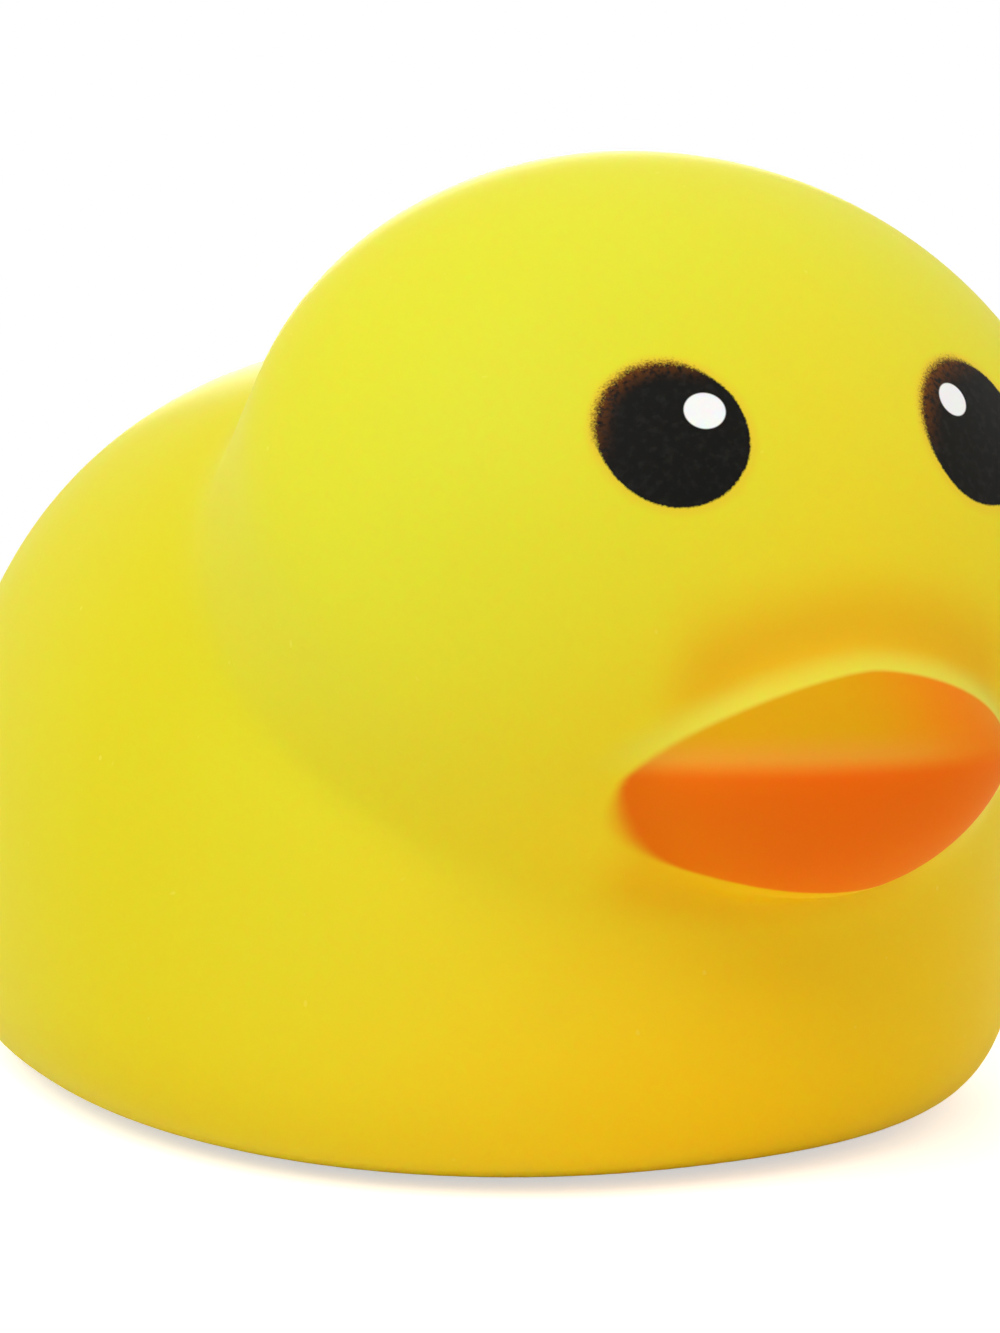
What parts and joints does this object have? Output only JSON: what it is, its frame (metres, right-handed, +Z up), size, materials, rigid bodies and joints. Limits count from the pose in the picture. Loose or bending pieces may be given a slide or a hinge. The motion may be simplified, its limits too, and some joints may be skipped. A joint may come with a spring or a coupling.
{
  "type": "squishy toy duck",
  "caption": "Soft one-piece foam toy duck with a round body, a large head, a plump bill and a flat base, for squeezing in the hand or standing on a desk.",
  "frame": {"origin": "middle of the bounding box at the base", "axes": "+Z up out of the base, -Y the way the bill points, +X across the duck"},
  "size_m": [0.0732, 0.1104, 0.0655],
  "materials": {
    "foam": "satin skin of soft yellow foam, with an orange painted bill and black painted eyes"
  },
  "bodies": {
    "root": {"duck": "foam"}
  },
  "joints": []
}
